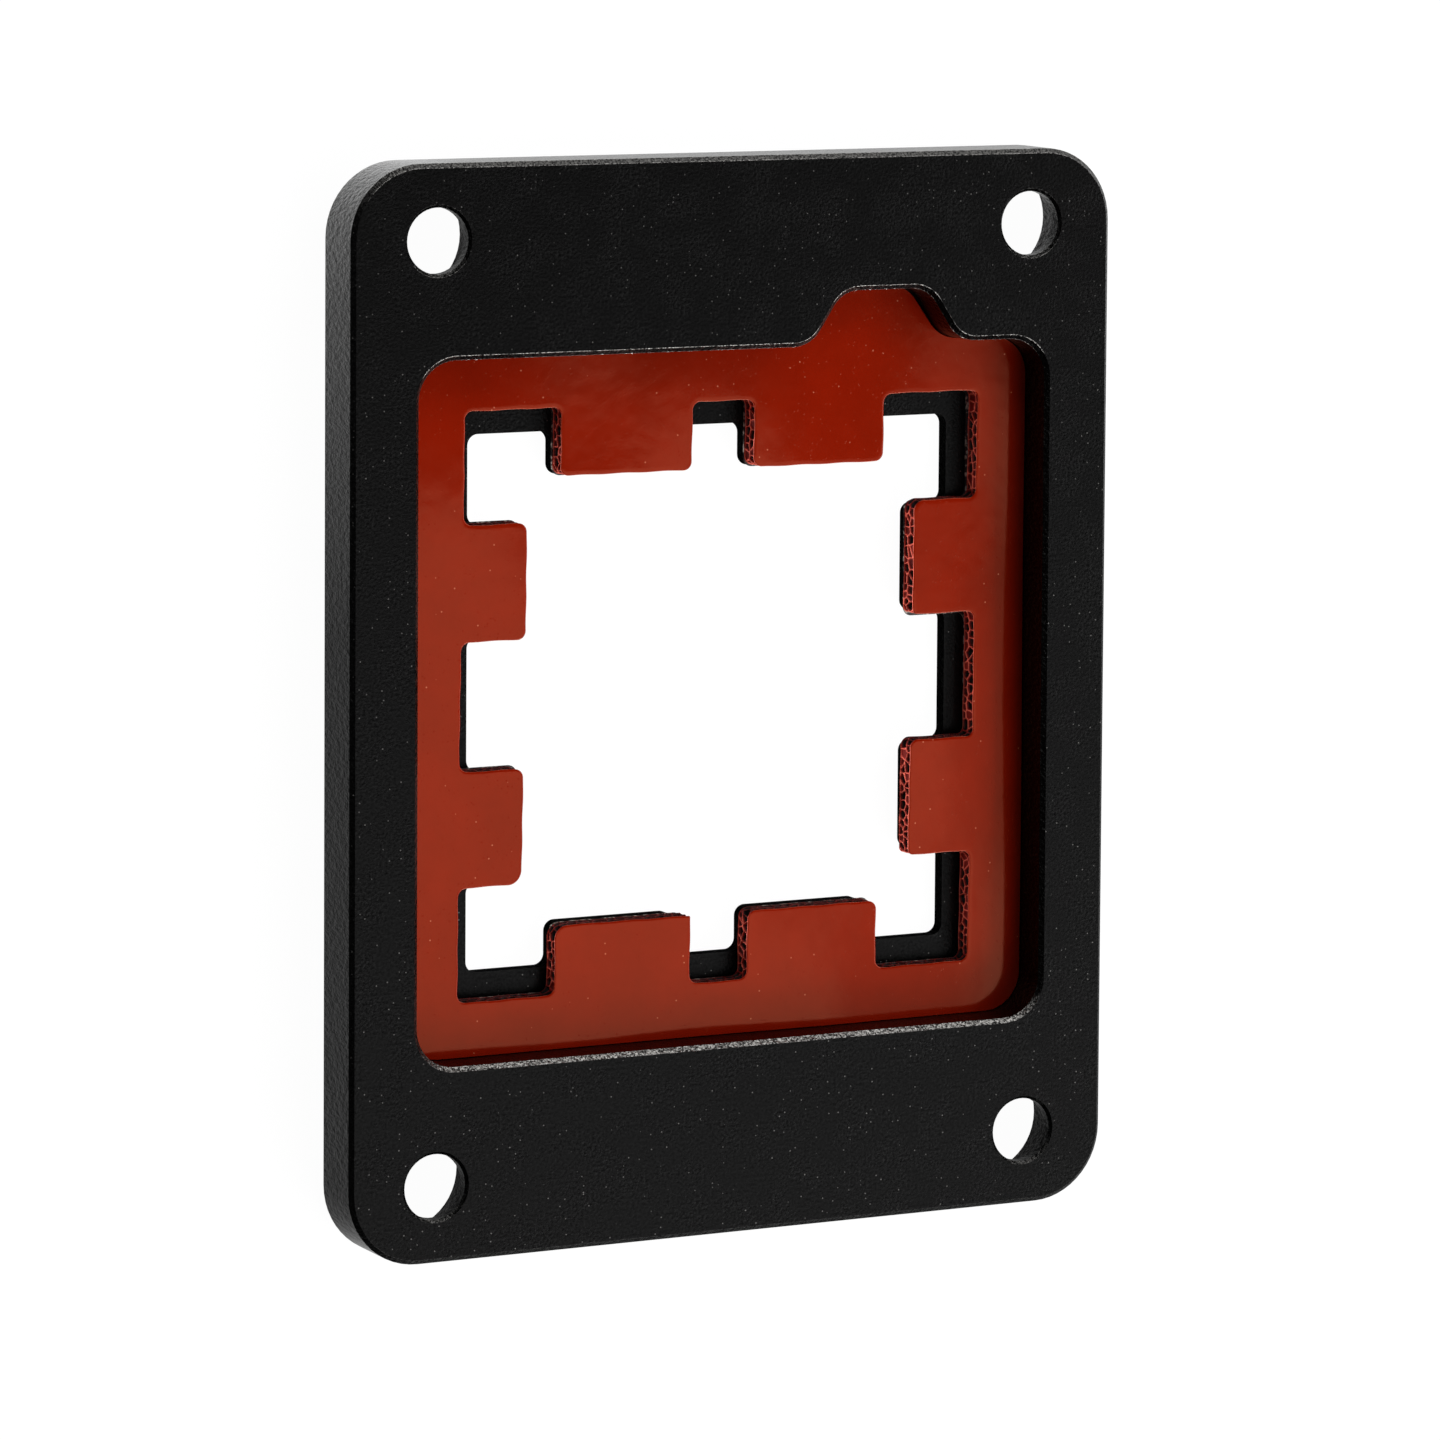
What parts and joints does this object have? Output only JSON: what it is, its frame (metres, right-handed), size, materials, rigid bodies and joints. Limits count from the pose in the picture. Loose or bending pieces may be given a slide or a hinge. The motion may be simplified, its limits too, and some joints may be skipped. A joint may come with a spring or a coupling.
{
  "type": "cpu socket retention frame",
  "caption": "Flat anodised aluminium frame that clamps a processor in its socket, with a comb window for the heat spreader, corner screw holes and a sponge sealing gasket.",
  "frame": {"origin": "middle of the cooler-side face, at the part's lowest level", "axes": "+Z out of the board-side face, +Y along the long side towards the pocket's bump, +X along the short side"},
  "size_m": [0.0568, 0.073, 0.0054],
  "materials": {
    "anodised_aluminium": "bead-blasted and black anodised, matt with a fine sparkle",
    "silicone_sponge": "brick-red closed-cell silicone sponge with a glossy moulded skin",
    "adhesive_film": "thin translucent pressure-sensitive adhesive film"
  },
  "bodies": {
    "root": {"frame": "anodised_aluminium", "foam_pad": "silicone_sponge", "adhesive_film": "adhesive_film"}
  },
  "joints": []
}
